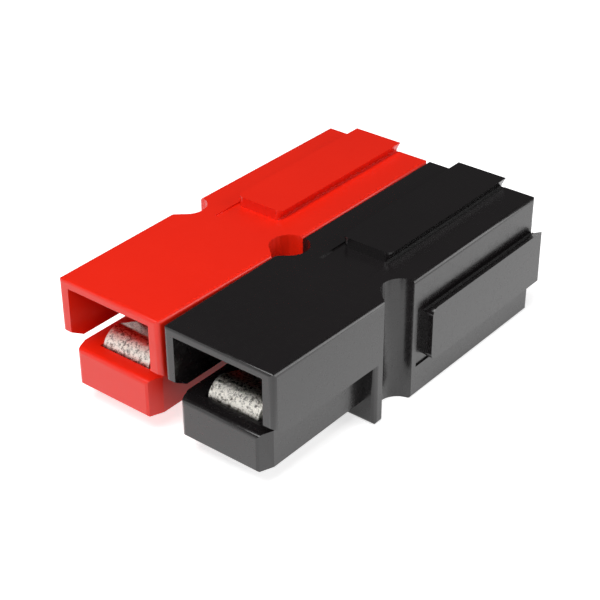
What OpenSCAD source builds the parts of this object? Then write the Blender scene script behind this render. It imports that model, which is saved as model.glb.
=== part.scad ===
// Red and black pair of modular genderless power connector housings, each with a
// silver-plated crimp contact and a leaf spring, locked side by side by a dovetail.
// Lengths in millimetres. +X is the mating direction, +Y runs from the red housing to
// the black one, +Z is the hood side. The origin is on the axis of the roll-pin hole
// between the housings, at the height of the mating plane.

/* [Housing] */
// Width of one housing across the pair, without its side rail
housing_w = 7.9; // [7.6:0.1:12]
// Height of one housing, without its top rail
housing_h = 7.9; // [7.6:0.1:12]
// Length of the hood and of the tongue below it, which is the depth of mating
hood_l = 8.5; // [7.5:0.1:12]
// Length of the body behind the hood
body_l = 16.1; // [14.5:0.1:24]
// Radius of the long edges
edge_r = 0.25; // [0.1:0.05:0.5]
// Radius of the upright corners at the wire end
rear_corner_r = 0.4; // [0.2:0.05:0.8]
// Radius of the lower edge at the wire end
heel_r = 0.5; // [0.2:0.05:0.8]
// Radius of the upper edge at the wire end
rear_top_r = 0.2; // [0.1:0.05:0.5]
// Radius of the edges of the shoulder under the hood
shoulder_r = 0.3; // [0.1:0.05:0.5]

/* [Hood] */
// Thickness of the side walls of the hood at its root
wall_t = 0.9; // [0.7:0.05:1.2]
// Thickness of the roof
roof_t = 0.6; // [0.4:0.05:1]
// Height of the lower edge of the side walls above the mating plane
hood_gap = 0.05; // [0.02:0.01:0.3]
// Inward lean of each outer side, from the roll-pin hole to the mouth
hood_draft = 0.15; // [0.05:0.01:0.4]
// Radius of the outer upright corners at the mouth
mouth_corner_r = 0.35; // [0.15:0.05:0.6]
// Radius of the upper edge of the mouth
brow_r = 0.22; // [0.1:0.02:0.5]
// Chamfer inside the upper edge of the mouth
lip_chamfer = 0.12; // [0.05:0.01:0.3]
// Length of the chamfer on the lower front corner of each side wall
jaw_l = 0.9; // [0.3:0.1:2]
// Height of the chamfer on the lower front corner of each side wall
jaw_h = 0.55; // [0.2:0.05:1.2]
// Depth that the hollow of the hood reaches into the body
hollow_extra = 0.4; // [0.1:0.05:1]

/* [Tongue] */
// Drop of the top of the tongue below the mating plane
tongue_drop = 0.3; // [0.1:0.05:0.5]
// Clearance of the tongue to each side wall of the mating hood
tongue_side_clear = 0.05; // [0.02:0.005:0.2]
// Clearance of the tongue to the roof of the mating hood
tongue_roof_clear = 0.7; // [0.1:0.05:0.9]
// Thickness of the floor under the pocket of the tongue
tongue_floor_t = 0.6; // [0.4:0.05:0.8]
// Length of the ledge in front of the contact
ledge_l = 1; // [0.6:0.1:2]
// Length of the lead-in on the sides of the nose
nose_l = 0.9; // [0.5:0.05:2.5]
// Width taken off each side of the nose
nose_in = 0.35; // [0.1:0.05:0.6]
// Chamfer of the upright corners of the nose
nose_corner = 0.14; // [0.05:0.01:0.3]
// Radius of the upper edge of the nose
nose_top_r = 0.3; // [0.1:0.05:0.5]
// Radius of the lower edge of the nose
toe_r = 0.1; // [0.05:0.05:0.6]

/* [Roll-pin hole] */
// Diameter of the roll pin that locks a pair together
pin_d = 2.4; // [2:0.1:3]
// Distance from the front of the body to the axis of the hole
pin_setback = 2.25; // [1.9:0.05:4]
// Distance from the axis to the point where the ramp of the hole meets the side
ramp_reach = 1.6; // [1.55:0.05:2.5]

/* [Dovetails] */
// Width of a rail at its outer face
rail_w = 3.45; // [3:0.05:5]
// Height of a rail above the face that carries it
rail_h = 0.55; // [0.3:0.05:0.7]
// Undercut of each flank of a rail
rail_undercut = 0.27; // [0.1:0.01:0.4]
// Length of the rail on the top
top_rail_l = 11.9; // [8:0.1:13]
// Length of the rail on the side
side_rail_l = 11.5; // [8:0.1:13]
// Radius of the front corners of a rail
rail_corner_r = 0.45; // [0.1:0.05:1]
// Clearance between a rail and the groove that takes it
rail_clear = 0.05; // [0.02:0.01:0.1]
// Depth of the shallow step round a rail
step_t = 0.1; // [0.05:0.01:0.15]
// Width that the step round the top rail shows beside each flank
top_step_margin = 0.025; // [0.01:0.005:0.3]
// Length of the step round the top rail, from the wire end
top_step_l = 13.9; // [13:0.1:15]
// Width that the step round the side rail shows beside each flank
side_step_margin = 0.22; // [0.01:0.01:0.4]
// Length of the step round the side rail, from the wire end
side_step_l = 12.25; // [11.9:0.05:13]

/* [Wire entry] */
// Diameter of the bore that takes the insulated wire
wire_bore_d = 5.7; // [5:0.1:6]
// Chamfer at the mouth of the wire bore
wire_chamfer = 0.3; // [0.1:0.05:0.5]

/* [Contact] */
// Thickness of the sheet of the contact
stock_t = 0.55; // [0.4:0.05:0.7]
// Width of the blade
blade_w = 3.5; // [2.5:0.1:3.8]
// Clearance above and below the blade in the housing
blade_clear = 0.05; // [0.02:0.01:0.2]
// Clearance beside the blade in the housing
blade_side_clear = 0.15; // [0.05:0.01:0.3]
// Clearance in front of the tip of the blade
tip_clear = 0.1; // [0.05:0.05:0.3]
// Outer radius of the curl at the tip
curl_r = 1.1; // [0.9:0.05:1.3]
// Height of the top of the curl above the mating plane
curl_rise = 0.55; // [0.3:0.05:0.7]
// Slope of the blade behind the curl
curl_slope = 22; // [12:1:35]
// Angle that the curl runs on below its foremost point
curl_tuck = 50; // [20:5:60]
// Outer diameter of the crimp barrel
barrel_od = 4.4; // [4:0.1:4.8]
// Length of the crimp barrel
barrel_l = 7; // [5:0.1:8]
// Distance from the front of the body to the front end of the barrel
barrel_setback = 3; // [2.8:0.1:4]
// Clearance around the barrel
barrel_clear = 0.15; // [0.05:0.05:0.2]
// Slope of the neck between the blade and the barrel
neck_slope = 35; // [30:1:50]
// Width of the seam of the rolled barrel
seam_w = 0.08; // [0.05:0.01:0.2]

/* [Spring] */
// Thickness of the leaf spring
spring_t = 0.35; // [0.2:0.05:0.4]
// Width of the leaf spring
spring_w = 3.3; // [2.4:0.1:3.4]
// Length of the foot that lies on the floor of the housing
spring_foot_l = 2.5; // [1.5:0.1:3]
// Distance from the front of the body back to the rear end of the foot
spring_setback = 1.2; // [0.6:0.1:1.4]
// Slope of the leaf between the foot and the blade
spring_slope = 30; // [24:1:40]

/* [Hidden] */
$fn = 64;
// Overlap of cutting bodies past the face they open
cut = 0.5;
// Small excess that lets the rounding of the mouth cross a leaning face
mouth_corner_over = 0.012;
// Small depth at which the slope behind the curl crosses it
crest_under = 0.01;
half_w = housing_w / 2;
half_h = housing_h / 2;

body_front = pin_setback;
mouth_x = body_front + hood_l;
rear_x = body_front - body_l;

roof_z = half_h - roof_t;
opening_w = housing_w - 2 * wall_t;
draft_angle = atan(hood_draft / (mouth_x - ramp_reach));

tongue_w = opening_w - 2 * tongue_side_clear;
tongue_top = -tongue_drop;
tongue_bottom = -(roof_z - tongue_roof_clear);
tongue_root = body_front - hollow_extra - cut;

pin_r = pin_d / 2;
ramp_angle = acos(pin_r / ramp_reach);

root_w = rail_w - 2 * rail_undercut;
top_step_w = rail_w + 2 * top_step_margin;
side_step_w = rail_w + 2 * side_step_margin;

barrel_r = barrel_od / 2;
barrel_ir = barrel_r - stock_t;
barrel_front = body_front - barrel_setback;
barrel_rear = barrel_front - barrel_l;
barrel_room_r = barrel_r + barrel_clear;
room_floor = -barrel_room_r;
pocket_floor = tongue_bottom + tongue_floor_t;
passage_w = blade_w + 2 * blade_side_clear;
pocket_front = mouth_x - ledge_l;
tip_x = pocket_front - tip_clear;
curl_x = tip_x - curl_r;
curl_z = curl_rise - curl_r;
crest_x = curl_x - (curl_r - crest_under) * sin(curl_slope);
crest_z = curl_z + (curl_r - crest_under) * cos(curl_slope);
slope_foot_x = crest_x - crest_z / tan(curl_slope);
neck_x = barrel_front + barrel_ir / tan(neck_slope);
// Shift of the under side of the sheet at a bend, from its upper side
slope_shift = stock_t * tan(curl_slope / 2);
neck_shift = stock_t * tan(neck_slope / 2);
// Where the neck has risen clear of the floor of the pocket
floor_step_x = barrel_front + neck_shift
    + (pocket_floor + barrel_clear + barrel_r) / tan(neck_slope);

foot_rear = body_front - spring_setback;
foot_front = foot_rear + spring_foot_l;
leaf_rise = -stock_t - spring_t - pocket_floor;
leaf_end = foot_front + leaf_rise / tan(spring_slope);
leaf_shift = spring_t * tan(spring_slope / 2);

red = [0.86, 0.13, 0.10];
black = [0.10, 0.10, 0.11];
silver = [0.86, 0.85, 0.83];
steel = [0.62, 0.63, 0.65];

// ---- outlines -------------------------------------------------------------------

// Rectangle from x0, y0 to x1, y1; the radii run anticlockwise from the corner x0, y0
module rounded_rect(x0, y0, x1, y1, radii) {
    a = radii[0];
    b = radii[1];
    c = radii[2];
    d = radii[3];
    polygon([
        [x0 + a, y0], [x1 - b, y0], [x1, y0 + b], [x1, y1 - c],
        [x1 - c, y1], [x0 + d, y1], [x0, y1 - d], [x0, y0 + a]
    ]);
    translate([x0 + a, y0 + a]) circle(r = a);
    translate([x1 - b, y0 + b]) circle(r = b);
    translate([x1 - c, y1 - c]) circle(r = c);
    translate([x0 + d, y1 - d]) circle(r = d);
}

// Lays an outline drawn in X and Z out along Y, centred
module across(width) {
    translate([0, width / 2, 0])
        rotate([90, 0, 0])
            linear_extrude(height = width)
                children();
}

// Lays an outline drawn in Y and Z out along X, from x0 to x1
module along(x0, x1) {
    translate([x0, 0, 0])
        rotate([90, 0, 90])
            linear_extrude(height = x1 - x0)
                children();
}

module housing_section() {
    rounded_rect(-half_w, -half_h, half_w, half_h, [edge_r, edge_r, edge_r, edge_r]);
}

// ---- housing --------------------------------------------------------------------

module body() {
    intersection() {
        along(rear_x, 0)
            housing_section();
        translate([0, 0, -half_h])
            linear_extrude(height = housing_h)
                rounded_rect(rear_x, -half_w, cut, half_w,
                    [rear_corner_r, shoulder_r, shoulder_r, rear_corner_r]);
        across(housing_w)
            rounded_rect(rear_x, -half_h, cut, half_h,
                [heel_r, shoulder_r, shoulder_r, rear_top_r]);
    }
}

// A bar with the section of the housing, turned so that the face on one side leans in
// from the front edge of the roll-pin hole
module leaning_bar(side) {
    translate([ramp_reach, side * half_w, 0])
        rotate([0, 0, -side * draft_angle])
            translate([0, -side * half_w, 0])
                along(-ramp_reach - cut, mouth_x)
                    housing_section();
}

// The rounding of the mouth runs past the leaning side, so that both meet in an edge
module hood_plan() {
    r = mouth_corner_r;
    side = half_w - hood_draft + mouth_corner_over;
    translate([mouth_x - r, r - side]) circle(r = r);
    translate([mouth_x - r, side - r]) circle(r = r);
    polygon([
        [0, -half_w - cut], [body_front, -half_w - cut], [mouth_x - r, -side],
        [mouth_x, r - side], [mouth_x, side - r],
        [mouth_x - r, side], [body_front, half_w + cut], [0, half_w + cut]
    ]);
}

module shoulder_plan() {
    rounded_rect(-2 * cut, -half_w, body_front, half_w,
        [shoulder_r, shoulder_r, shoulder_r, shoulder_r]);
}

// The shoulder below and the hood above, in side view
module front_profile() {
    translate([mouth_x - brow_r, half_h - brow_r]) circle(r = brow_r);
    translate([body_front - shoulder_r, shoulder_r - half_h]) circle(r = shoulder_r);
    polygon([
        [0, -half_h], [body_front - shoulder_r, -half_h], [body_front, shoulder_r - half_h],
        [body_front, hood_gap], [mouth_x - jaw_l, hood_gap], [mouth_x, hood_gap + jaw_h],
        [mouth_x, half_h - brow_r], [mouth_x - brow_r, half_h], [0, half_h]
    ]);
}

module hood() {
    intersection() {
        leaning_bar(1);
        leaning_bar(-1);
        across(housing_w + 2 * cut)
            front_profile();
        union() {
            translate([0, 0, hood_gap])
                linear_extrude(height = half_h)
                    hood_plan();
            translate([0, 0, hood_gap - housing_h])
                linear_extrude(height = housing_h)
                    shoulder_plan();
        }
    }
}

module hood_hollow() {
    hollow_rear = body_front - hollow_extra;
    translate([hollow_rear, -opening_w / 2, tongue_top])
        cube([mouth_x + cut - hollow_rear, opening_w, roof_z - tongue_top]);
    across(opening_w)
        polygon([
            [mouth_x - lip_chamfer, roof_z], [mouth_x + cut, roof_z],
            [mouth_x + cut, roof_z + lip_chamfer + cut]
        ]);
}

module tongue_plan() {
    half = tongue_w / 2;
    nose = half - nose_in;
    // Width that the lead-in has gained where the corner chamfer ends
    gain = nose_corner / 2 * nose_in / nose_l;
    polygon([
        [tongue_root, -half], [mouth_x - nose_l, -half],
        [mouth_x - nose_corner / 2, -nose - gain], [mouth_x, nose_corner - nose],
        [mouth_x, nose - nose_corner], [mouth_x - nose_corner / 2, nose + gain],
        [mouth_x - nose_l, half], [tongue_root, half]
    ]);
}

module tongue() {
    height = tongue_top - tongue_bottom;
    intersection() {
        translate([0, 0, tongue_bottom])
            linear_extrude(height = height)
                tongue_plan();
        across(tongue_w)
            rounded_rect(tongue_root - cut, tongue_bottom, mouth_x, tongue_top,
                [toe_r, toe_r, nose_top_r, nose_top_r]);
    }
}

// Half of the hole for the roll pin, in the face y = 0, with its ramp towards the front
module pin_groove() {
    linear_extrude(height = housing_h + 2 * cut, center = true) {
        circle(r = pin_r);
        polygon([
            [0, 0], [pin_r * cos(ramp_angle), -pin_r * sin(ramp_angle)], [ramp_reach, 0],
            [ramp_reach, cut], [0, cut]
        ]);
    }
}

// Rail on the face y = 0 of a body below it, pointing up, with its rear end at x = 0
module rail(length) {
    intersection() {
        along(0, length)
            polygon([
                [-root_w / 2, -step_t], [root_w / 2, -step_t], [root_w / 2, 0],
                [rail_w / 2, rail_h], [-rail_w / 2, rail_h], [-root_w / 2, 0]
            ]);
        translate([0, 0, -step_t])
            linear_extrude(height = rail_h + step_t)
                union() {
                    translate([length - rail_corner_r, rail_corner_r - rail_w / 2])
                        circle(r = rail_corner_r);
                    translate([length - rail_corner_r, rail_w / 2 - rail_corner_r])
                        circle(r = rail_corner_r);
                    polygon([
                        [0, -rail_w / 2], [length - rail_corner_r, -rail_w / 2],
                        [length, rail_corner_r - rail_w / 2], [length, rail_w / 2 - rail_corner_r],
                        [length - rail_corner_r, rail_w / 2], [0, rail_w / 2]
                    ]);
                }
    }
}

// The groove that takes such a rail, cut upwards from the face z = 0
module rail_groove(length) {
    mouth = root_w / 2 + rail_clear;
    bed = rail_w / 2 + rail_clear;
    along(-cut, length + rail_clear)
        polygon([
            [-mouth, -cut], [mouth, -cut], [mouth, 0],
            [bed, rail_h + rail_clear], [-bed, rail_h + rail_clear], [-mouth, 0]
        ]);
}

module step_cut(length, width) {
    translate([-cut, -width / 2, -step_t])
        cube([length + cut, width, step_t + cut]);
}

// Room for the contact and its spring, open to the tongue in front and the wire behind
module contact_room() {
    room_front = barrel_front + barrel_clear;
    translate([barrel_rear - barrel_clear, 0, 0])
        rotate([0, 90, 0])
            cylinder(r = barrel_room_r, h = room_front - barrel_rear + barrel_clear);
    across(passage_w)
        polygon([
            [room_front - cut, room_floor], [floor_step_x, room_floor],
            [floor_step_x, pocket_floor], [pocket_front, pocket_floor],
            [pocket_front, blade_clear], [room_front - cut, blade_clear]
        ]);
}

module wire_bore() {
    bore_r = wire_bore_d / 2;
    bore_front = barrel_rear - barrel_clear;
    mouth_r = bore_r + wire_chamfer;
    rotate([0, 90, 0])
        rotate_extrude()
            polygon([
                [0, rear_x - cut], [mouth_r + cut, rear_x - cut], [bore_r, rear_x + wire_chamfer],
                [bore_r, bore_front], [0, bore_front]
            ]);
}

module housing() {
    difference() {
        union() {
            difference() {
                union() {
                    body();
                    hood();
                }
                hood_hollow();
                translate([rear_x, 0, half_h])
                    step_cut(top_step_l, top_step_w);
                translate([rear_x, half_w, 0])
                    rotate([-90, 0, 0])
                        step_cut(side_step_l, side_step_w);
            }
            tongue();
            translate([rear_x, 0, half_h])
                rail(top_rail_l);
            translate([rear_x, half_w, 0])
                rotate([-90, 0, 0])
                    rail(side_rail_l);
        }
        translate([0, half_w, 0])
            pin_groove();
        translate([0, -half_w, 0])
            mirror([0, 1, 0])
                pin_groove();
        translate([rear_x, 0, -half_h])
            rail_groove(top_rail_l);
        translate([rear_x, -half_w, 0])
            rotate([-90, 0, 0])
                rail_groove(side_rail_l);
        contact_room();
        wire_bore();
    }
}

// ---- contact --------------------------------------------------------------------

// The curled tip, the blade and the neck in side view
module contact_profile() {
    difference() {
        union() {
            translate([curl_x, curl_z]) circle(r = curl_r);
            polygon([
                [crest_x, crest_z],
                [slope_foot_x, 0],
                [neck_x, 0],
                [barrel_front, -barrel_ir],
                [barrel_front - cut, -barrel_ir],
                [barrel_front - cut, -barrel_r],
                [barrel_front + neck_shift, -barrel_r],
                [neck_x + neck_shift, -stock_t],
                [slope_foot_x + slope_shift, -stock_t],
                [curl_x, curl_z - stock_t]
            ]);
        }
        translate([curl_x, curl_z]) circle(r = curl_r - stock_t);
        // Below the slope behind the curl
        polygon([
            [slope_foot_x + slope_shift, -stock_t],
            [crest_x + stock_t * sin(curl_slope), crest_z - stock_t * cos(curl_slope)],
            [curl_x, curl_z],
            [curl_x, curl_z - 2 * curl_r],
            [slope_foot_x + slope_shift, curl_z - 2 * curl_r]
        ]);
        // Below the end of the curl
        translate([curl_x, curl_z])
            polygon([
                [0, 0],
                [2 * curl_r * cos(curl_tuck), -2 * curl_r * sin(curl_tuck)],
                [-cut, -2 * curl_r]
            ]);
    }
}

module contact() {
    // The sheet, with the neck trimmed to the round of the barrel
    intersection() {
        across(blade_w)
            contact_profile();
        union() {
            translate([neck_x, -blade_w, -barrel_r])
                cube([tip_x - neck_x, 2 * blade_w, 2 * barrel_r]);
            translate([barrel_front - cut, 0, 0])
                rotate([0, 90, 0])
                    cylinder(r = barrel_r, h = neck_x - barrel_front + 2 * cut);
        }
    }
    // The rolled barrel, with its seam on the top
    difference() {
        translate([barrel_rear, 0, 0])
            rotate([0, 90, 0])
                cylinder(r = barrel_r, h = barrel_l);
        translate([barrel_rear - cut, 0, 0])
            rotate([0, 90, 0])
                cylinder(r = barrel_ir, h = barrel_l + 2 * cut);
        translate([barrel_rear - cut, -seam_w / 2, 0])
            cube([barrel_l + 2 * cut, seam_w, barrel_od]);
    }
}

// ---- spring ---------------------------------------------------------------------

// A leaf from the floor of the pocket up to the under side of the blade
module spring() {
    across(spring_w)
        polygon([
            [foot_rear, pocket_floor],
            [foot_front, pocket_floor],
            [leaf_end, -stock_t - spring_t],
            [curl_x, -stock_t - spring_t],
            [curl_x, -stock_t],
            [leaf_end - leaf_shift, -stock_t],
            [foot_front - leaf_shift, pocket_floor + spring_t],
            [foot_rear, pocket_floor + spring_t]
        ]);
}

// ---- the pair -------------------------------------------------------------------

module red_housing() {
    color(red)
        translate([0, -half_w, 0])
            housing();
}

module black_housing() {
    color(black)
        translate([0, half_w, 0])
            housing();
}

module red_contact() {
    color(silver)
        translate([0, -half_w, 0])
            contact();
}

module black_contact() {
    color(silver)
        translate([0, half_w, 0])
            contact();
}

module red_spring() {
    color(steel)
        translate([0, -half_w, 0])
            spring();
}

module black_spring() {
    color(steel)
        translate([0, half_w, 0])
            spring();
}

red_housing();
black_housing();
red_contact();
black_contact();
red_spring();
black_spring();
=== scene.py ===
"""Looks of the red and black pair of modular genderless power connectors.

Runs inside Blender 4.5 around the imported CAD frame. Metres, in the frame of the CAD model: +X is the
mating direction, +Y runs from the red housing to the black one, +Z is the hood side, and the origin is on
the axis of the roll-pin hole at the height of the mating plane.
"""

import logging
import math
from dataclasses import dataclass, field
from enum import Enum
from typing import Any

import bpy
import numpy as np
from mathutils import Euler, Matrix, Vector

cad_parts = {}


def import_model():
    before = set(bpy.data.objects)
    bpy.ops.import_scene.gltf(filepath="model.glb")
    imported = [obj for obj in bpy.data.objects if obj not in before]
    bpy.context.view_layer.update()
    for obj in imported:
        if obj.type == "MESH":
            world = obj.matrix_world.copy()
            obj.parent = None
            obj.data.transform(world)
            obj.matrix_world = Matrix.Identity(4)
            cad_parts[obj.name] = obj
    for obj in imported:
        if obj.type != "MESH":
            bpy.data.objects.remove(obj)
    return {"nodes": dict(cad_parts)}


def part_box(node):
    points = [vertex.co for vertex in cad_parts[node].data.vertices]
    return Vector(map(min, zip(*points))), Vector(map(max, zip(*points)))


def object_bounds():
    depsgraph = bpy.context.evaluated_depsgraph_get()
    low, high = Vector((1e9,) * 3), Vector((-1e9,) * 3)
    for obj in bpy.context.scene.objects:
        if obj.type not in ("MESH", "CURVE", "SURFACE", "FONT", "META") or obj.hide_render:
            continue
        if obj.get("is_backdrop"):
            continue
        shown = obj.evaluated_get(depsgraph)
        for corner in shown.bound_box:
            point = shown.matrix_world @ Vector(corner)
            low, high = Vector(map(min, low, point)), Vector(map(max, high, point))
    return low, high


LOG = logging.getLogger("connector_looks")
MM = 0.001
# Triangles of the CAD mesh whose corners lie this close share one corner
WELD_REACH = 0.002 * MM
BEVEL_SEGMENTS = 2

Colour = tuple[float, float, float, float]


class Side(Enum):
    """The two housings of the pair."""

    RED = "red"
    BLACK = "black"


# ---- small helpers ---------------------------------------------------------------


def linear(hex_colour: str) -> Colour:
    """Turns an sRGB hex colour into the linear colour that a shader takes.

    Args:
        hex_colour: six hex digits after a hash sign.

    Returns:
        Linear red, green, blue and an alpha of 1.
    """
    srgb = np.array([int(hex_colour[i:i + 2], 16) / 255 for i in (1, 3, 5)])
    low = srgb / 12.92
    high = ((srgb + 0.055) / 1.055) ** 2.4
    return (*np.where(srgb <= 0.04045, low, high).tolist(), 1.0)


def per_metre(size_mm: float) -> float:
    """Gives the scale at which a texture on Object coordinates repeats every size_mm.

    Args:
        size_mm: size of one grain, in millimetres.

    Returns:
        Repeats in one metre.
    """
    return 1 / (size_mm * MM)


def add_node(tree: bpy.types.NodeTree, kind: str, links: dict[str | int, Any] | None = None,
             **settings: Any) -> Any:
    """Adds a node with its settings, socket values and links.

    Args:
        tree: node tree that takes the node.
        kind: type name of the node.
        links: socket name or number to an output socket to link, or to a plain value to set.
        settings: properties of the node.

    Returns:
        The new node.
    """
    node = tree.nodes.new(kind)
    for name, value in settings.items():
        setattr(node, name, value)
    for socket, value in (links or {}).items():
        if isinstance(value, bpy.types.NodeSocket):
            tree.links.new(value, node.inputs[socket])
        else:
            node.inputs[socket].default_value = value
    return node


def new_material(name: str) -> tuple[bpy.types.Material, bpy.types.NodeTree]:
    """Makes an empty node material.

    Args:
        name: name of the material.

    Returns:
        The material and its node tree, without nodes.
    """
    material = bpy.data.materials.new(name)
    material.use_nodes = True
    material.node_tree.nodes.clear()
    return material, material.node_tree


def dress(node: bpy.types.Object, material: bpy.types.Material) -> None:
    """Gives every material slot of a CAD node one material.

    Args:
        node: CAD node.
        material: finish of the node.
    """
    if not node.material_slots:
        node.data.materials.append(material)
    for slot in node.material_slots:
        slot.material = material


def soften(node: bpy.types.Object, width: float, angle: float) -> None:
    """Breaks the sharp edges of a CAD node with a live bevel, which leaves its mesh as it is.

    Args:
        node: CAD node.
        width: width of the broken edge, in metres.
        angle: smallest angle of an edge that is broken, in degrees.
    """
    weld = node.modifiers.new("weld", "WELD")
    weld.merge_threshold = WELD_REACH
    bevel = node.modifiers.new("edge_break", "BEVEL")
    bevel.limit_method = "ANGLE"
    bevel.angle_limit = math.radians(angle)
    bevel.width = width
    bevel.segments = BEVEL_SEGMENTS
    bevel.harden_normals = True


# ---- finishes --------------------------------------------------------------------


@dataclass(frozen=True)
class MouldedPolycarbonate:
    """Polycarbonate injected in a spark-eroded mould: satin, with a fine even grain."""

    name: str
    colour: str
    shade: str
    roughness: float
    ior: float = 1.585
    specular: float = 0.5
    # Size of the grain of the mould, drawn coarser than the real one so that it shows
    grain_mm: float = 0.12
    grain_height_mm: float = 0.0015
    # Flow of the plastic, a slow change of shade along the part
    flow_mm: float = 6.0
    # Rub marks and dust, which make the surface a little glossier or duller in places
    dust_mm: float = 0.35
    dust_low: float = 0.3
    dust_high: float = 0.7
    polish: float = 0.05
    dulling: float = 0.06

    def build(self) -> bpy.types.Material:
        """Makes the material.

        Returns:
            The material of this plastic.
        """
        material, tree = new_material(self.name)
        place = add_node(tree, "ShaderNodeTexCoord").outputs["Object"]
        flow = add_node(tree, "ShaderNodeTexNoise",
                        {"Vector": place, "Scale": per_metre(self.flow_mm), "Detail": 3.0, "Roughness": 0.5})
        tone = add_node(tree, "ShaderNodeMix",
                        {"Factor": flow.outputs["Fac"], "A": linear(self.shade), "B": linear(self.colour)},
                        data_type="RGBA")
        grain = add_node(tree, "ShaderNodeTexNoise",
                         {"Vector": place, "Scale": per_metre(self.grain_mm), "Detail": 2.0,
                          "Roughness": 0.6})
        dust = add_node(tree, "ShaderNodeTexNoise",
                        {"Vector": place, "Scale": per_metre(self.dust_mm), "Detail": 4.0, "Roughness": 0.7})
        rough = add_node(tree, "ShaderNodeMapRange",
                         {"Value": dust.outputs["Fac"], "From Min": self.dust_low, "From Max": self.dust_high,
                          "To Min": self.roughness - self.polish, "To Max": self.roughness + self.dulling})
        bump = add_node(tree, "ShaderNodeBump",
                        {"Height": grain.outputs["Fac"], "Distance": self.grain_height_mm * MM,
                         "Strength": 1.0})
        shader = add_node(tree, "ShaderNodeBsdfPrincipled",
                          {"Base Color": tone.outputs["Result"], "Roughness": rough.outputs["Result"],
                           "IOR": self.ior, "Specular IOR Level": self.specular,
                           "Normal": bump.outputs["Normal"]})
        add_node(tree, "ShaderNodeOutputMaterial", {"Surface": shader.outputs["BSDF"]})
        return material


@dataclass(frozen=True)
class SilverPlate:
    """Matt silver plate on stamped copper: warm white, with the sparkle of its coarse crystals."""

    name: str = "silver_plate"
    light: str = "#FFFBF2"
    dark: str = "#7C776F"
    roughness: float = 0.3
    # Crystals of the plate, drawn coarser than the real ones so that they show
    crystal_mm: float = 0.2
    crystal_height_mm: float = 0.05
    # Range of the crystal pattern over which the colour goes from dark to light
    tone_low: float = 0.38
    tone_high: float = 0.52

    def build(self) -> bpy.types.Material:
        """Makes the material.

        Returns:
            The material of the plated sheet.
        """
        material, tree = new_material(self.name)
        place = add_node(tree, "ShaderNodeTexCoord").outputs["Object"]
        crystal = add_node(tree, "ShaderNodeTexNoise",
                           {"Vector": place, "Scale": per_metre(self.crystal_mm), "Detail": 4.0,
                            "Roughness": 0.8})
        tone = add_node(tree, "ShaderNodeMapRange",
                        {"Value": crystal.outputs["Fac"], "From Min": self.tone_low,
                         "From Max": self.tone_high})
        colour = add_node(tree, "ShaderNodeMix",
                          {"Factor": tone.outputs["Result"], "A": linear(self.dark), "B": linear(self.light)},
                          data_type="RGBA")
        bump = add_node(tree, "ShaderNodeBump",
                        {"Height": crystal.outputs["Fac"], "Distance": self.crystal_height_mm * MM,
                         "Strength": 1.0})
        shader = add_node(tree, "ShaderNodeBsdfPrincipled",
                          {"Base Color": colour.outputs["Result"], "Metallic": 1.0,
                           "Roughness": self.roughness, "Normal": bump.outputs["Normal"]})
        add_node(tree, "ShaderNodeOutputMaterial", {"Surface": shader.outputs["BSDF"]})
        return material


@dataclass(frozen=True)
class RolledSpringSteel:
    """Cold-rolled stainless strip: grey, with fine lines along the direction of rolling."""

    name: str = "spring_steel"
    colour: str = "#B9BABC"
    roughness: float = 0.32
    line_mm: float = 0.08
    # How much longer than wide a rolling line is
    stretch: float = 40.0
    # How far the roughness goes up and down from line to line
    uneven: float = 0.1

    def build(self) -> bpy.types.Material:
        """Makes the material.

        Returns:
            The material of the leaf spring.
        """
        material, tree = new_material(self.name)
        place = add_node(tree, "ShaderNodeTexCoord").outputs["Object"]
        drawn = add_node(tree, "ShaderNodeMapping", {"Vector": place, "Scale": (1 / self.stretch, 1.0, 1.0)})
        lines = add_node(tree, "ShaderNodeTexNoise",
                         {"Vector": drawn.outputs["Vector"], "Scale": per_metre(self.line_mm), "Detail": 2.0})
        rough = add_node(tree, "ShaderNodeMapRange",
                         {"Value": lines.outputs["Fac"], "To Min": self.roughness - self.uneven,
                          "To Max": self.roughness + self.uneven})
        shader = add_node(tree, "ShaderNodeBsdfPrincipled",
                          {"Base Color": linear(self.colour), "Metallic": 1.0,
                           "Roughness": rough.outputs["Result"]})
        add_node(tree, "ShaderNodeOutputMaterial", {"Surface": shader.outputs["BSDF"]})
        return material


@dataclass(frozen=True)
class WhiteTable:
    """White acrylic table: plain and matt, seen as full white, with a faint shadow under the object."""

    name: str = "white_table"
    colour: str = "#F2F2F2"
    # Light that the table adds for a ray that looks at it, so that it is seen as white
    lift: float = 0.7

    def build(self) -> bpy.types.Material:
        """Makes the material.

        Returns:
            The material of the table.
        """
        material, tree = new_material(self.name)
        path = add_node(tree, "ShaderNodeLightPath")
        seen = add_node(tree, "ShaderNodeMath",
                        {0: path.outputs["Is Camera Ray"], 1: path.outputs["Is Glossy Ray"]},
                        operation="MAXIMUM")
        seen = add_node(tree, "ShaderNodeMath",
                        {0: seen.outputs[0], 1: path.outputs["Is Transmission Ray"]},
                        operation="MAXIMUM")
        level = add_node(tree, "ShaderNodeMath", {0: seen.outputs[0], 1: self.lift}, operation="MULTIPLY")
        glow = add_node(tree, "ShaderNodeEmission", {"Color": linear("#FFFFFF"),
                                                     "Strength": level.outputs[0]})
        matt = add_node(tree, "ShaderNodeBsdfDiffuse", {"Color": linear(self.colour)})
        both = add_node(tree, "ShaderNodeAddShader", {0: glow.outputs[0], 1: matt.outputs[0]})
        add_node(tree, "ShaderNodeOutputMaterial", {"Surface": both.outputs[0]})
        return material


# ---- the object ------------------------------------------------------------------


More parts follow.
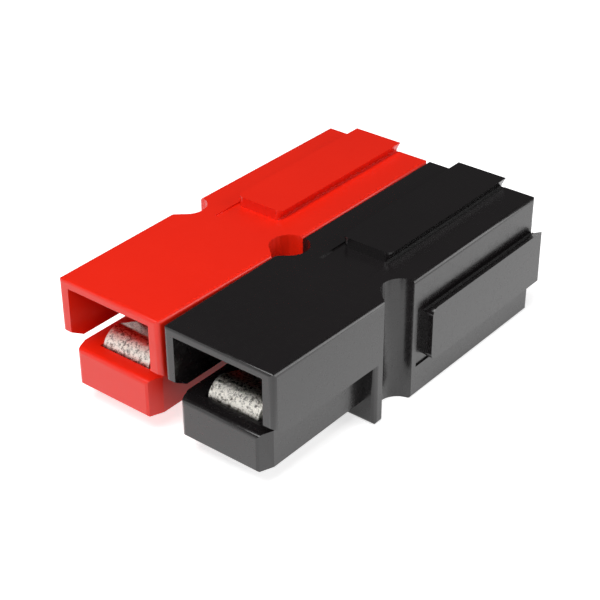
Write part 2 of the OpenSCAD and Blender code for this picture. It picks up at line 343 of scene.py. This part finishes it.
@dataclass
class Pole:
    """One pole of the pair: its housing, its contact and its spring."""

    side: Side
    plastic: MouldedPolycarbonate
    plate: bpy.types.Material
    steel: bpy.types.Material
    nodes: dict[str, bpy.types.Object]
    # Edges that the mould leaves a little soft, from this angle in degrees on
    housing_edge: float = 0.05 * MM
    bevel_from: float = 15.0

    def node(self, part: str) -> bpy.types.Object:
        """Gives the CAD node of one part of this pole."""
        return self.nodes[f"{self.side.value}_{part}"]

    def build(self) -> None:
        """Dresses the housing, the contact and the spring."""
        dress(self.node("housing"), self.plastic.build())
        dress(self.node("contact"), self.plate)
        dress(self.node("spring"), self.steel)
        soften(self.node("housing"), self.housing_edge, self.bevel_from)
        for part in ("housing", "contact", "spring"):
            low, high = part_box(self.node(part).name)
            size = ", ".join(f"{value / MM:.2f}" for value in high - low)
            LOG.info("%s_%s: %s mm", self.side.value, part, size)


# ---- the studio ------------------------------------------------------------------


@dataclass(frozen=True)
class Softbox:
    """A square lamp that faces the object, placed by the direction it shines from."""

    name: str
    azimuth: float
    elevation: float
    distance: float
    size: float
    power: float

    def build(self, centre: Vector) -> None:
        """Makes the lamp.

        Args:
            centre: point that the lamp faces.
        """
        turn, rise = math.radians(self.azimuth), math.radians(self.elevation)
        toward = Vector((math.cos(rise) * math.cos(turn), math.cos(rise) * math.sin(turn), math.sin(rise)))
        lamp = bpy.data.lights.new(self.name, "AREA")
        lamp.shape = "SQUARE"
        lamp.size = self.size
        lamp.energy = self.power
        holder = bpy.data.objects.new(self.name, lamp)
        holder.location = centre + toward * self.distance
        holder.rotation_euler = toward.to_track_quat("Z", "Y").to_euler()
        bpy.context.scene.collection.objects.link(holder)


@dataclass
class Studio:
    """White table, dim room, soft lamps and the camera."""

    centre: Vector
    floor_height: float
    table_half: float = 1.5
    camera_place: tuple[float, float, float] = (59.03 * MM, 48.71 * MM, 47.29 * MM)
    camera_turn: tuple[float, float, float] = (58.43, 0.22, 128.96)
    focal_length: float = 92.49
    sensor: float = 36.0
    room_grey: float = 0.07
    lamps: tuple[Softbox, ...] = field(default_factory=lambda: (
        Softbox("top_softbox", azimuth=10, elevation=66, distance=0.14, size=0.10, power=0.2),
        Softbox("right_softbox", azimuth=128, elevation=16, distance=0.30, size=0.20, power=0.45),
        Softbox("left_softbox", azimuth=-38, elevation=16, distance=0.30, size=0.20, power=0.14),
    ))

    def build(self) -> None:
        """Makes the table, the world, the lamps and the camera."""
        self.make_table()
        self.make_room()
        for lamp in self.lamps:
            lamp.build(self.centre)
        self.make_camera()

    def make_table(self) -> None:
        """Lays the table under the object, a flat square worked out as a two by two grid."""
        reach = np.array([-self.table_half, self.table_half])
        grid_x, grid_y = np.meshgrid(reach, reach)
        corners = np.stack([grid_x, grid_y, np.full_like(grid_x, self.floor_height)], axis=-1).reshape(-1, 3)
        mesh = bpy.data.meshes.new("table")
        mesh.from_pydata(corners.tolist(), [], [(0, 1, 3, 2)])
        mesh.materials.append(WhiteTable().build())
        table = bpy.data.objects.new("table", mesh)
        bpy.context.scene.collection.objects.link(table)
        table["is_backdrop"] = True

    def make_room(self) -> None:
        """Lights the room a dim even grey, seen as white behind the table."""
        world = bpy.data.worlds.new("room")
        world.use_nodes = True
        world.node_tree.nodes.clear()
        tree = world.node_tree
        path = add_node(tree, "ShaderNodeLightPath")
        level = add_node(tree, "ShaderNodeMapRange",
                         {"Value": path.outputs["Is Camera Ray"], "To Min": self.room_grey, "To Max": 1.0})
        air = add_node(tree, "ShaderNodeBackground",
                       {"Color": linear("#FFFFFF"), "Strength": level.outputs["Result"]})
        add_node(tree, "ShaderNodeOutputWorld", {"Surface": air.outputs[0]})
        bpy.context.scene.world = world

    def make_camera(self) -> None:
        """Sets the camera at the viewing angle, with its axis through the middle of the frame."""
        lens = bpy.data.cameras.new("camera")
        lens.lens = self.focal_length
        lens.sensor_width = self.sensor
        lens.clip_start = 1 * MM
        camera = bpy.data.objects.new("camera", lens)
        camera.location = self.camera_place
        camera.rotation_euler = Euler([math.radians(angle) for angle in self.camera_turn])
        bpy.context.scene.collection.objects.link(camera)
        bpy.context.scene.camera = camera


def main() -> None:
    """Builds the object's looks and the studio around the frame."""
    logging.basicConfig(level=logging.INFO, format="%(name)s: %(message)s")
    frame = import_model()
    cad_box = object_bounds()
    bpy.context.scene.view_settings.view_transform = "Standard"
    nodes = frame["nodes"]
    plate = SilverPlate().build()
    steel = RolledSpringSteel().build()
    red = MouldedPolycarbonate("red_polycarbonate", colour="#F0240A", shade="#E41E0A", roughness=0.33,
                               specular=0.4)
    black = MouldedPolycarbonate("black_polycarbonate", colour="#1A1718", shade="#141213", roughness=0.24,
                                 specular=0.48)
    Pole(Side.RED, red, plate, steel, nodes).build()
    Pole(Side.BLACK, black, plate, steel, nodes).build()
    low, high = (Vector(corner) for corner in cad_box)
    Studio(centre=(low + high) / 2, floor_height=low.z).build()


if __name__ == "__main__":
    main()
